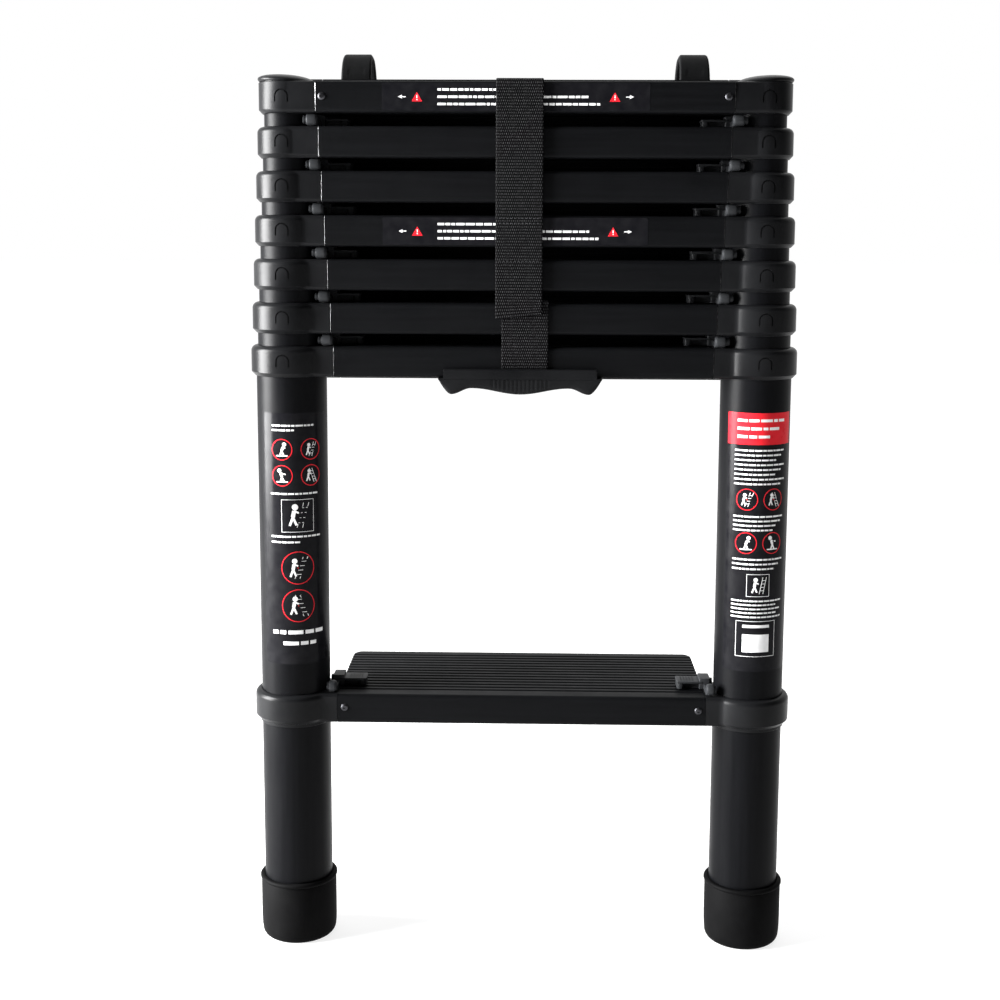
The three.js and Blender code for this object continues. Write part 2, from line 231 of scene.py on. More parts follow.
def turned(profile, x, y):
    """Rows of a profile of (radius, z) points turned about a vertical line."""
    return [[(x + radius * math.cos(a), y + radius * math.sin(a), z) for a in bearings(128)]
            for radius, z in profile]


def turned_about_x(profile, y, z, segments=48):
    """Rows of a profile of (x, radius) points turned about a line along X."""
    return [[(x, y + radius * math.cos(a), z + radius * math.sin(a)) for a in bearings(segments)]
            for x, radius in profile]


def turned_about_y(profile, x, y, z, way, segments):
    """Rows of a profile of (radius, rise) points turned about a line along Y, towards +Y or -Y.

    A radius is one number, or one for each segment.
    """
    return [[(x + r * math.cos(a), y + way * rise, z - way * r * math.sin(a))
             for a, r in zip(bearings(segments), np.broadcast_to(radius, segments))]
            for radius, rise in profile]


def prism(loop, start, end, shape=None):
    """A bar along X from start to end, with an outline of (y, z) points."""
    shape = shape or Shape()
    shape.skin([[(x, y, z) for y, z in loop] for x in (start, end)])
    return shape


def rounded_loop(low, high, radius, steps=5):
    """A rounded rectangle between two corners, counter-clockwise."""
    (a, b), (c, d) = low, high
    centres = ((c - radius, b + radius), (c - radius, d - radius), (a + radius, d - radius),
               (a + radius, b + radius))
    loop = []
    for turn, centre in enumerate(centres):
        loop += arc(centre, radius, turn * 90 - 90, turn * 90, steps)
    return loop


def rounded_box(shape, low, high, radius, corner, steps=4):
    """A block with rounded vertical corners and softened top and bottom edges."""
    rows = []
    heights = [(low[2] + radius * (1 - math.cos(a)), radius * (1 - math.sin(a)))
               for a in np.radians(np.linspace(0, 90, steps + 1))]
    top = [(high[2] - (z - low[2]), inset) for z, inset in reversed(heights)]
    for z, inset in heights + top:
        loop = rounded_loop((low[0] + inset, low[1] + inset), (high[0] - inset, high[1] - inset),
                            max(corner - inset, 0.05 * MM))
        rows.append([(px, py, z) for px, py in loop])
    shape.skin(rows)


# --- materials


class Nodes:
    """A small builder for one node material."""

    def __init__(self, name):
        self.material = bpy.data.materials.new(name)
        self.material.use_nodes = True
        self.tree = self.material.node_tree
        self.shader = self.tree.nodes["Principled BSDF"]
        self.place = self.tree.nodes.new("ShaderNodeTexCoord").outputs["Object"]

    def add(self, kind, **inputs):
        node = self.tree.nodes.new(kind)
        for name, value in inputs.items():
            self.feed(node.inputs[name.replace("_", " ")], value)
        return node

    def feed(self, socket, value):
        if isinstance(value, bpy.types.NodeSocket):
            self.tree.links.new(value, socket)
        else:
            socket.default_value = value

    def noise(self, scale, detail=3, rough=0.5, stretch=(1, 1, 1)):
        """Noise with so many features a metre, stretched along the axes."""
        mapping = self.add("ShaderNodeMapping", Vector=self.place, Scale=stretch)
        node = self.add("ShaderNodeTexNoise", Vector=mapping.outputs[0], Scale=scale,
                        Detail=detail, Roughness=rough)
        return node.outputs["Fac"]

    def ramp(self, value, low, high):
        """A value from 0 to 1 spread between two numbers."""
        node = self.add("ShaderNodeMapRange", Value=value, To_Min=low, To_Max=high)
        node.inputs["From Min"].default_value = 0.3
        node.inputs["From Max"].default_value = 0.7
        return node.outputs[0]

    def blend(self, factor, first, second):
        """Between two colours, by a factor."""
        node = self.tree.nodes.new("ShaderNodeMix")
        node.data_type = "RGBA"
        self.feed(node.inputs["Factor"], factor)
        for socket, value in zip([s for s in node.inputs if s.type == "RGBA"], (first, second)):
            socket.default_value = (*value, 1)
        return next(s for s in node.outputs if s.type == "RGBA")

    def bump(self, height, distance, strength=1.0, below=None):
        node = self.add("ShaderNodeBump", Height=height, Distance=distance, Strength=strength)
        if below:
            self.feed(node.inputs["Normal"], below)
        return node.outputs[0]

    def finish(self, **inputs):
        for name, value in inputs.items():
            self.feed(self.shader.inputs[name.replace("_", " ")], value)
        return self.material


def coated(name, dark, light, stretch, roughness):
    """Satin powder coat on an aluminium extrusion: fine grain, faint streaks and scuffs."""
    n = Nodes(name)
    streaks = n.noise(260, 4, stretch=stretch)
    clouds = n.noise(14, 3)
    scuffs = n.noise(55, 6, 0.7, (1, 1, 0.35))
    colour = n.blend(n.ramp(streaks, 0.15, 0.85), dark, light)
    grain = n.bump(n.noise(2600, 2), 0.00004, 0.5)
    normal = n.bump(streaks, 0.00003, 0.35, grain)
    rough = n.add("ShaderNodeMath", Value=n.ramp(clouds, roughness - 0.03, roughness + 0.04))
    rough.operation = "ADD"
    n.feed(rough.inputs[1], n.ramp(scuffs, -0.035, 0.05))
    return n.finish(Base_Color=colour, Roughness=rough.outputs[0], Normal=normal,
                    Specular_IOR_Level=0.045)


def grained(name, dark, light, roughness, clouds, grain, bump, gloss, specular):
    """Plastic or rubber: a fine grain, and colour and gloss that vary slightly in clouds."""
    n = Nodes(name)
    clouds = n.noise(*clouds)
    colour = n.blend(n.ramp(clouds, 0.0, 1.0), dark, light)
    normal = n.bump(n.noise(*grain), bump, 0.6)
    rough = n.ramp(clouds, roughness + gloss[0], roughness + gloss[1])
    return n.finish(Base_Color=colour, Roughness=rough, Normal=normal, Specular_IOR_Level=specular)


def moulded(name, dark, light, roughness, bump=0.00008):
    """Nylon with a spark-eroded grain."""
    return grained(name, dark, light, roughness, (22, 4), (1500, 3, 0.6), bump, (-0.05, 0.06), 0.075)


def rubber(name, dark, light, roughness):
    """Matt rubber with a dusty bloom."""
    return grained(name, dark, light, roughness, (38, 6, 0.65), (900, 4), 0.00012, (-0.06, 0.08), 0.03)


def webbing():
    """Spun nylon yarn: matt, slightly hairy, with lighter and darker yarns, and a painted highlight on
    each yarn crest with painted shade in the grooves between.
    """
    n = Nodes("nylon_webbing")
    yarns = n.noise(500, 2)
    fibres = n.noise(4200, stretch=(0.4, 0.4, 1))
    crests = n.add("ShaderNodeAttribute").outputs["Fac"]
    crests.node.attribute_name = "yarn"
    # painted highlight: from the weave height, the colour lightens towards each yarn crest and darkens in
    # the grooves between
    painted_crest_highlight = n.add("ShaderNodeMath", Value=crests)
    painted_crest_highlight.operation = "POWER"
    painted_crest_highlight.inputs[1].default_value = 3.5
    yarn_tone_and_crest_highlight = n.add("ShaderNodeMath", Value=n.ramp(yarns, 0.35, 1.0))
    yarn_tone_and_crest_highlight.operation = "MULTIPLY"
    n.feed(yarn_tone_and_crest_highlight.inputs[1], painted_crest_highlight.outputs[0])
    # painted highlight: light colour at the yarn crests, painted shade in the grooves, on top of the
    # random yarn tone
    colour = n.blend(yarn_tone_and_crest_highlight.outputs[0], (0.0002, 0.0002, 0.0004), (0.08, 0.08, 0.082))
    normal = n.bump(fibres, 0.00012, 0.8)
    return n.finish(Base_Color=colour, Roughness=0.75, Normal=normal, Sheen_Weight=0.01,
                    Sheen_Roughness=0.5, Specular_IOR_Level=0.04)


def metal(name, colour, roughness, darkest=0.82, patches=1800):
    """Brushed or cut metal, down to a darkest share of its colour in patches, so many a metre."""
    n = Nodes(name)
    lines = n.noise(1800)
    normal = n.bump(lines, 0.00003, 0.4)
    tint = n.blend(n.ramp(n.noise(patches), 0.0, 1.0), [c * darkest for c in colour], colour)
    rough = n.ramp(lines, roughness, roughness + 0.12)
    return n.finish(Base_Color=tint, Metallic=1.0, Roughness=rough, Normal=normal)


def film(name, dark, light, roughness=0.16):
    """Printed, laminated film with a faint waviness."""
    n = Nodes(name)
    wave = n.noise(120, 2)
    colour = n.blend(n.ramp(wave, 0.0, 1.0), dark, light)
    return n.finish(Base_Color=colour, Roughness=n.ramp(wave, roughness, roughness + 0.08),
                    Normal=n.bump(wave, 0.00006, 0.35), Specular_IOR_Level=0.045)


ACROSS = (0.04, 1, 1)  # streaks along X
UPRIGHT = (1, 1, 0.04)  # streaks along Z
RAIL_COAT = coated("rail_satin_coat", (0.0015, 0.0016, 0.002), (0.0028, 0.0029, 0.0035), UPRIGHT, 0.38)
RUNG_COAT = coated("rung_satin_coat", (0.0015, 0.0016, 0.0019), (0.003, 0.0032, 0.0037), ACROSS, 0.46)
COLLAR = moulded("collar_grained_nylon", (0.0035, 0.0036, 0.004), (0.0062, 0.0064, 0.007), 0.33)
SLIDE = moulded("slide_grey_nylon", (0.014, 0.0148, 0.016), (0.022, 0.023, 0.0248), 0.4, 0.00005)
HANDLE = moulded("handle_nylon", (0.0025, 0.0026, 0.003), (0.0048, 0.005, 0.0055), 0.45)
FOOT = rubber("foot_rubber", (0.0012, 0.0012, 0.0013), (0.0028, 0.0028, 0.003), 0.62)
HOOK = rubber("hook_rubber_coat", (0.004, 0.0041, 0.0043), (0.007, 0.0072, 0.0075), 0.55)
WEBBING = webbing()
THREAD = moulded("strap_thread", (0.02, 0.02, 0.0215), (0.032, 0.032, 0.034), 0.7)
BARE = metal("bare_aluminium_edge", (0.24, 0.24, 0.245), 0.45, 0.05, 320)
STEEL = metal("blackened_screw_steel", (0.055, 0.055, 0.06), 0.33)
FILM = film("label_black_film", (0.004, 0.004, 0.005), (0.007, 0.007, 0.008))
RED_INK = film("label_red_ink", (0.50, 0.012, 0.020), (0.56, 0.016, 0.024), 0.25)
WHITE_INK = film("label_white_ink", (0.62, 0.62, 0.62), (0.72, 0.72, 0.72), 0.3)

# --- tubes


def tube_shape(tube):
    low, high = (corner.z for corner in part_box(f"right_tube_{tube}"))
    radius = TUBE_RADIUS[tube]
    inner = radius - TUBE_WALL
    chamfer = 0.3 * MM
    profile = [
        (inner, low), (radius - chamfer, low), (radius, low + chamfer),
        (radius, high - chamfer), (radius - chamfer, high), (inner, high),
    ]
    return Shape(turned(profile, RAIL_X, RAIL_Y), torus=True)


def pin_hole(tube):
    """The round hole that the lock pin of rung n enters when its section is fully out."""
    radius = 4 * MM
    pin_rise = 5.3 * MM
    set_back = 8 * MM
    reach = TUBE_RADIUS[tube]
    profile = [(RAIL_X - reach - 2 * MM, radius), (RAIL_X - reach / 2, radius)]
    height = RUNG_TOP[tube] + pin_rise - SLIDE_TRAVEL
    return Shape(turned_about_x(profile, RAIL_Y + set_back, height, 32))


def both_sides(shape, name, body, materials, node=None, tools=(), crease=35):
    """The same piece for the right rail and, mirrored, for the left one.

    Each tool is a shape and what it does to the piece: "UNION" or "DIFFERENCE".
    """
    for side, sign in SIDES.items():
        mine = shape if sign > 0 else shape.mirrored()
        thing = mine.to_object(f"{side}_{name}", materials, crease)
        for tool, operation in tools:
            boolean(thing, tool if sign > 0 else tool.mirrored(), operation, crease)
        settle(thing, body.format(side=side), [f"{side}_{node}"] if node else [])


def make_tubes():
    for tube in TUBES:
        body = section_body(tube + 1)
        tools = [(pin_hole(tube), "DIFFERENCE")] if tube > 1 else []
        both_sides(tube_shape(tube), f"tube_{tube}_extrusion", body, [RAIL_COAT],
                   f"tube_{tube}", tools)


# --- collars

COLLAR_LIP = 2 * MM  # covers the end of the collar's own tube
TOP_ROUND = 5.2 * MM
TAPER_IN = 2.9 * MM
TAPER_HIGH = 3.4 * MM
EDGE_BREAK = 0.3 * MM
SPIGOT = 22 * MM
GROOVE_DEPTH = 1.4 * MM  # of the bottom step's tread


def round_inset(depth, radius):
    """How far a rounded edge of that radius stands back, at a depth below the edge."""
    if depth >= radius:
        return 0.0
    return radius - math.sqrt(max(radius**2 - (radius - depth) ** 2, 0))


def collar_outline(radius, depth, reach, z):
    """One level of a collar, as a closed row of points: neck, fillet, ring, fillet, neck, joint."""
    fillet = 8 * MM
    neck_steps, fillet_steps, ring_steps, joint_steps = 4, 10, 110, 8
    if radius > depth + 0.25 * MM:
        bend_x = -math.sqrt((radius + fillet) ** 2 - (depth + fillet) ** 2)
        toward_axis = math.degrees(math.atan2(depth + fillet, -bend_x))
        bend = arc((bend_x, -depth - fillet), fillet, 90, toward_axis, fillet_steps)
        ring = arc((0, 0), radius, toward_axis - 180, 180 - toward_axis, ring_steps)
    else:
        bend_x = -3 * MM
        bend = [(x, -depth) for x in np.linspace(bend_x, 0, fillet_steps + 1)]
        quarter = np.radians(np.linspace(-90, 90, ring_steps + 1))
        ring = [(radius * math.cos(a), depth * math.sin(a)) for a in quarter]
    neck = [(x, -depth) for x in np.linspace(-reach, bend_x, neck_steps + 1)][:-1]
    near = neck + bend[:-1]
    far = [(x, -y) for x, y in reversed(near)]
    joint = [(-reach, y) for y in np.linspace(depth, -depth, joint_steps + 1)][1:-1]
    loop = near + ring + far + joint
    return np.array([(RAIL_X + x, RAIL_Y + y, z) for x, y in loop])


def collar_rows(rung):
    """The outer levels of a collar, from the top down."""
    radius, reach = collar_radius(rung), RAIL_X - JOINT_X[rung] - FIT
    top = RUNG_TOP[rung]
    top_round = 0.8 * MM if rung == RUNGS[-1] else TOP_ROUND
    upper = [top_round * (1 - math.cos(a)) for a in np.radians(np.linspace(0, 90, 11))]
    lower = [h * MM for h in (3.8, 3.4, 3.0, 2.4, 1.7, 1.0, 0.5, 0.3, 0.12, 0)]
    levels = upper + [RUNG_HEIGHT - h for h in lower]
    rows = []
    for below in levels:
        above = RUNG_HEIGHT - below
        taper = TAPER_IN * min(1, max(0, TAPER_HIGH - above) / (TAPER_HIGH - EDGE_BREAK))
        ring = radius - round_inset(below, top_round) - taper - round_inset(above, EDGE_BREAK)
        depth = HALF_DEPTH - round_inset(min(above, below), RUNG_CORNER)
        if radius > HALF_DEPTH:
            depth = min(depth, ring - FIT)
        rows.append(collar_outline(ring, depth, reach, top - below))
    return rows


def ring_like(row, radius, z, lean=0.0):
    """A circle whose points lie at the same bearings as the points of a row."""
    bearing = np.arctan2(row[:, 1] - RAIL_Y, row[:, 0] - RAIL_X)
    return np.stack([
        RAIL_X + lean + radius * np.cos(bearing),
        RAIL_Y + radius * np.sin(bearing),
        np.full(len(row), z),
    ], axis=1)


def collar_shape(rung):
    rows = collar_rows(rung)
    top, bottom = RUNG_TOP[rung], RUNG_TOP[rung] - RUNG_HEIGHT
    tube = TUBE_RADIUS[carrier(rung)]
    bore, lip = tube + FIT, top - COLLAR_LIP
    crown = []
    if rung == RUNGS[-1]:
        levels = [(bore, bottom), (bore, lip)]
        crown = dome_rows(rows[0], collar_radius(rung), top)
    elif rung == 1:
        skirt, drop = bore + 1.2 * MM, bottom - 3 * MM
        levels = [(skirt, bottom), (skirt, drop + EDGE_BREAK), (skirt - EDGE_BREAK, drop), (bore, drop),
                  (bore, top - EDGE_BREAK), (bore + EDGE_BREAK, top)]
    else:
        levels = [(bore, bottom), (bore, lip), (tube - TUBE_WALL, lip), (tube - TUBE_WALL, top)]
    inside = [ring_like(rows[-1], radius, z) for radius, z in levels]
    return Shape(crown + rows + inside, torus=not crown)


def dome_rows(row, radius, top):
    """The closed crown of a top collar, from its tip down to the seam under its rim."""
    rise, lean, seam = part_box("right_collar_8")[1].z - top, 7.2 * MM, 0.9 * MM
    rim, waist = radius - 0.5 * MM, radius - 1.9 * MM
    rows = []
    for angle in np.radians(np.linspace(88, 0, 14)):
        up = math.sin(angle)
        z = top + seam + (rise - seam) * up
        rows.append(ring_like(row, rim * math.cos(angle) ** 0.8, z, lean * up))
    levels = ((rim - 0.15 * MM, seam - 0.15 * MM), (waist, seam - 0.2 * MM), (waist, 0))
    return rows + [ring_like(row, reach, top + above) for reach, above in levels]


def spigot(rung):
    """The plug of a collar inside its rung."""
    inset = RUNG_WALL + FIT
    top, bottom = RUNG_TOP[rung], RUNG_TOP[rung] - RUNG_HEIGHT
    roof = top - inset - (GROOVE_DEPTH if rung == 1 else 0)
    loop = rounded_loop((FRONT_Y + inset, bottom + inset), (BACK_Y - inset, roof), 1.4 * MM)
    return prism(loop, JOINT_X[rung] - SPIGOT, JOINT_X[rung] + MM)


def neck_lips(rung):
    """The rung's rear lips, run on along the neck."""
    top, bottom = RUNG_TOP[rung], RUNG_TOP[rung] - RUNG_HEIGHT
    root = LIP_START_Y - 2 * MM
    loop = [(root, bottom + 2 * MM)] + rear_lips(BACK_Y - 0.05 * MM, bottom, top) + [(root, top - 2 * MM)]
    return prism(loop, JOINT_X[rung] + FIT, JOINT_X[rung] + NECK_LIP)


def arch_groove(rung):
    """The cutter of the small arch engraved in a collar's front."""
    half, width, depth = 5.5 * MM, 1.2 * MM, 1.3 * MM
    turn = math.radians(-90 + 4.5)
    radius = max(collar_radius(rung), HALF_DEPTH * 0.985)
    crown = RUNG_TOP[rung] - 7.2 * MM - half
    foot = crown - 4.8 * MM
    line = [(-half, foot)] + arc((0, crown), half, 180, 0, 16) + [(half, foot)]
    across = crosswise(np.gradient(line, axis=0)) * width / 2
    rows = []
    for point, step in zip(line, across):
        corners = []
        low, high = radius - depth, radius + MM
        for side, r in ((-1, low), (1, low), (1, high), (-1, high)):
            u, z = point + side * step
            a = turn + u / radius
            corners.append((RAIL_X + r * math.cos(a), RAIL_Y + r * math.sin(a), z))
        rows.append(corners)
    return Shape(rows)


def make_collars():
    for rung in RUNGS:
        tools = [(spigot(rung), "UNION")]
        if rung > 1:
            tools += [(neck_lips(rung), "UNION"), (arch_groove(rung), "DIFFERENCE")]
        both_sides(collar_shape(rung), f"collar_{rung}_moulding", section_body(rung),
                   [COLLAR], f"collar_{rung}", tools)


# --- rungs and bottom step

CUT_BREAK = 0.35 * MM
CUT_LENGTH = 0.4 * MM


def rear_lips(back, low, high):
    """The lips down and up a rung's rear, from its underside to its top, as (y, z) points.

    A tongue on the upper crest enters a slot in the lip above, and closes the crack between them.
    """
    foot, crest = low - REAR_LIP, high + REAR_LIP
    tongue, slot, turn = 0.45 * MM, 0.55 * MM, 0.2 * MM
    start, ridge = back - LIP_CREST - turn, back - LIP_CREST / 2 - 0.1 * MM
    points = [(LIP_START_Y, low), (start, foot)]
    points += [(ridge + side * 0.45 * MM, foot + rise)
               for side, rise in ((-1, 0), (-1, slot), (1, slot), (1, 0))]
    points += arc((back - turn, foot + turn), turn, -90, 0, 3)
    points += arc((back - turn, crest - turn), turn, 0, 90, 3)
    points += [(ridge + side * 0.25 * MM, crest + rise)
               for side, rise in ((1, 0), (1, tongue), (-1, tongue), (-1, 0))]
    return points + [(start, crest), (LIP_START_Y, high)]


def rung_loop(top, inset, groove):
    """A rung's outside as (y, z) points: fine grooves along its top, and a lip up and down its rear."""
    ribs = 12
    corner = RUNG_CORNER - inset
    front, back = FRONT_Y + inset, BACK_Y - inset
    low, high = top - RUNG_HEIGHT + inset, top - inset
    points = arc((front + corner, low + corner), corner, 180, 270, 6)
    points += rear_lips(back, low, high)
    start, end = LIP_START_Y - 1.5 * MM, front + corner + 1.5 * MM
    pitch = (end - start) / ribs
    for rib in range(ribs):
        y = start + rib * pitch
        for share, drop in ((0.3, 0), (0.38, groove), (0.62, groove), (0.7, 0)):
            points.append((y + share * pitch, high - drop))
    return points + arc((front + corner, high - corner), corner, 90, 180, 6)


def hollow_loop(top, count):
    """A rung's inside, with as many points along its top as the outside needs."""
    corner = RUNG_CORNER - RUNG_WALL
    front, back = FRONT_Y + RUNG_WALL, BACK_Y - RUNG_WALL
    low, high = top - RUNG_HEIGHT + RUNG_WALL, top - RUNG_WALL
    points = arc((front + corner, low + corner), corner, 180, 270, 6)
    points += arc((back - corner, low + corner), corner, -90, 0, 6)
    points += arc((back - corner, high - corner), corner, 0, 90, 6)
    flat = count - len(points) - 7
    points += [(y, high) for y in np.linspace(back - corner, front + corner, flat + 2)[1:-1]]
    return points + arc((front + corner, high - corner), corner, 90, 180, 6)


def rung_shape(rung):
    top = RUNG_TOP[rung]
    outer = rung_loop(top, 0, 0.45 * MM)
    broken = rung_loop(top, CUT_BREAK, 0.45 * MM)
    inner = hollow_loop(top, len(outer))
    reach = JOINT_X[rung]
    stations = [
        (-reach, broken), (-reach + CUT_LENGTH, outer), (reach - CUT_LENGTH, outer),
        (reach, broken), (reach, inner), (-reach, inner),
    ]
    rows = [[(x, y, z) for y, z in loop] for x, loop in stations]
    return Shape(rows, [1, 0, 1, 1, 0, 1], torus=True)


def make_rungs():
    for rung in RUNGS[1:]:
        thing = rung_shape(rung).to_object(f"rung_{rung}_extrusion", [RUNG_COAT, BARE], 25)
        settle(thing, section_body(rung), [f"rung_{rung}"])


TREAD_THICK = 9 * MM
GROOVES = 14
FRONT_BAND = 15 * MM
REAR_BAND = 8 * MM


def step_section():
    """The bottom step's outside, as (y, z) points: box, tread plate and its grooves."""
    top, bottom = RUNG_TOP[1], RUNG_TOP[1] - RUNG_HEIGHT
    corner, back_round, inner_round = RUNG_CORNER, 3 * MM, 4 * MM
    under = top - TREAD_THICK
    pitch = (TREAD_BACK_Y - FRONT_Y - FRONT_BAND - REAR_BAND) / GROOVES
    points = arc((FRONT_Y + corner, bottom + corner), corner, 180, 270, 5)
    points += arc((BACK_Y - corner, bottom + corner), corner, -90, 0, 5)
    points += arc((BACK_Y + inner_round, under - inner_round), inner_round, 180, 90, 5)
    points += arc((TREAD_BACK_Y - back_round, under + back_round), back_round, -90, 0, 5)
    points += arc((TREAD_BACK_Y - back_round, top - back_round), back_round, 0, 90, 5)
    for groove in reversed(range(GROOVES)):
        start = FRONT_Y + FRONT_BAND + groove * pitch
        for share, drop in ((0.52, 0), (0.47, 0.15), (0.4, 0.85), (0.35, 1), (0.15, 1),
                            (0.1, 0.85), (0.03, 0.15), (-0.02, 0)):
            points.append((start + share * pitch, top - drop * GROOVE_DEPTH))
    points += arc((FRONT_Y + corner, top - corner), corner, 90, 180, 5)
    return points


def make_step():
    top, bottom, reach = RUNG_TOP[1], RUNG_TOP[1] - RUNG_HEIGHT, JOINT_X[1]
    step = prism(step_section(), -reach, reach).to_object("bottom_step_extrusion", [RUNG_COAT, BARE])
    hollows = Shape()
    roof = top - RUNG_WALL - GROOVE_DEPTH
    front = rounded_loop((FRONT_Y + RUNG_WALL, bottom + RUNG_WALL), (BACK_Y - RUNG_WALL, roof), 1.4 * MM)
    rear = rounded_loop((BACK_Y + RUNG_WALL, top - TREAD_THICK + RUNG_WALL),
                        (TREAD_BACK_Y - RUNG_WALL - MM, roof), 1 * MM)
    for loop in (front, rear):
        prism(loop, -reach - MM, reach + MM, hollows)
    boolean(step, hollows, "DIFFERENCE", 25)
    rear_corner, past = 14 * MM, 1 * MM
    plan = [(-reach, FRONT_Y - past), (reach, FRONT_Y - past)]
    plan += arc((reach - rear_corner, TREAD_BACK_Y - rear_corner), rear_corner, 0, 90, 12)
    plan += arc((-reach + rear_corner, TREAD_BACK_Y - rear_corner), rear_corner, 90, 180, 12)
    trim = Shape([[(x, y, z) for x, y in plan] for z in (bottom - past, top + past)])
    boolean(step, trim, "INTERSECT", 25)
    for face in step.data.polygons:
        if abs(face.normal.x) > 0.9 and abs(abs(face.center.x) - reach) < FIT:
            face.material_index = 1
    settle(step, "root", ["bottom_step"])


# --- release slides


def slide_shape(rung):
    """Thumb pad, lug, spring sleeve and lock pin of one rung."""
    top, joint = RUNG_TOP[rung], JOINT_X[rung]
    base = top + FIT
    clear = TUBE_RADIUS[rung] + 0.5 * MM
    radius, length, forward = (5.2, 11, 18.5) if rung == 1 else (5, 14.5, 19.6)
    radius, length, forward = radius * MM, length * MM, forward * MM
    fit, setback = FIT / MM, forward / MM
    # low and high corners, in mm from the joint, the rail plane and the rung's top, edges and corners
    blocks = [
        ((-23.5, -1, 5.4), (1, 17, 7.5), 0.5, 1.6),  # the thumb pad's top plate
        ((-23.1, -0.7, fit), (-16.5, 16.6, 6.4), 0.5, 2.6),  # its inner end
        ((-19.5, 3, fit), (0.8, 16.6, 6.4), 0.5, 0.8),  # behind the finger recess
    ]
    blocks += [((x, 1, 7.2), (x + 0.9, 15, 7.5), 0.1, 0.3) for x in np.arange(5) * 2.6 - 19.5]
    blocks += [
        ((-3.3, -0.8, fit), (6.7, 17, 10.3), 0.7, 1.2),  # the lug
        ((0.8, -setback, fit), (4.6, 0, 5.3), 0.5, 0.8),  # the arm to the sleeve
    ]
    shape = Shape()
    for low, high, edge, corner in blocks:
        ends = [(joint + x * MM, RAIL_Y + y * MM, top + z * MM) for x, y, z in (low, high)]
        rounded_box(shape, *ends, edge * MM, corner * MM)
    # the sleeve: a rounded knob, then a ribbed waist
    start, end = joint + 0.8 * MM, joint - 1 * MM + length
    knob = length * 0.66
    near = [(0, 0.4), (0.15, 0.62), (0.6, 0.84), (1.4, 0.96), (2.4, 1)]
    far = [(1.6, 1), (0.8, 0.96), (0.2, 0.84), (0, 0.66)]
    profile = [(start + along * MM, radius * share) for along, share in near]
    profile += [(start + (knob - before * MM), radius * share) for before, share in far]
    rib = start + knob + 0.2 * MM
    while rib < end - 1.2 * MM:
        for along, share in ((0, 0.62), (0.15, 0.7), (0.75, 0.7), (0.9, 0.62)):
            profile.append((rib + along * MM, radius * share))
        rib += 1.3 * MM
    profile += [(end - 0.1 * MM, radius * 0.62), (end, radius * 0.55)]
    shape.skin(turned_about_x(profile, RAIL_Y - forward, base + radius))
    pin = [(joint, 3.5 * MM), (RAIL_X - clear, 3.5 * MM)]
    shape.skin(turned_about_x(pin, RAIL_Y + 8 * MM, top + 5.3 * MM))
    return shape


def make_slides():
    for rung in TUBES:
        both_sides(slide_shape(rung), f"release_slide_{rung}_moulding", f"{{side}}_release_{rung}",
                   [SLIDE], f"release_slide_{rung}", crease=30)


# --- feet


def make_feet():
    low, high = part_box("right_foot")
    outer = half_width("right_foot")
    waist = outer - 0.9 * MM
    bore = TUBE_RADIUS[1] + FIT
    floor_top = 12 * MM
    bead = 4.2 * MM
    profile = [(0.2 * MM, 0), (14 * MM, 0)]
    profile += [(28 * MM + 5.6 * MM * math.sin(a), 6.5 * MM * (1 - math.cos(a)))
                for a in np.radians(np.linspace(0, 80, 8))]
    profile += [(waist - 0.35 * MM, 9.5 * MM), (waist - 0.1 * MM, 16 * MM), (waist, 24 * MM)]
    neck = high.z - bead - 1.6 * MM
    groove = waist - 0.45 * MM
    profile += [(waist, neck - 1.2 * MM), (groove, neck), (groove, neck + 0.7 * MM)]
    middle_z = high.z - bead / 2
    profile += [(outer - bead / 2 + bead / 2 * math.cos(a), middle_z + bead / 2 * math.sin(a))
                for a in np.radians(np.linspace(-80, 90, 12))]
    profile += [(bore + 0.5 * MM, high.z), (bore, high.z - 0.5 * MM), (bore, floor_top),
                (0.2 * MM, floor_top)]
    shape = Shape(turned(profile, RAIL_X, RAIL_Y))
    both_sides(shape, "foot_moulding", "root", [FOOT], "foot", crease=40)


# --- carry handle


def handle_bottom(x):
    """How far the grip hangs below the rung, at a place along it: finger waves and sloped ends."""
    lobe, dip_at, drop, dip = 59.5 * MM, 42 * MM, 14 * MM, 8.6 * MM
    reach = half_width("carry_handle")
    away = abs(x)
    if away > lobe:
        share = (away - lobe) / (reach - lobe)
        return drop * (1 - share**1.7)
    if away > dip_at:
        share = (away - dip_at) / (lobe - dip_at)
    else:
        share = (dip_at - away) / dip_at
    return dip + (drop - dip) * (0.5 - 0.5 * math.cos(math.pi * share))


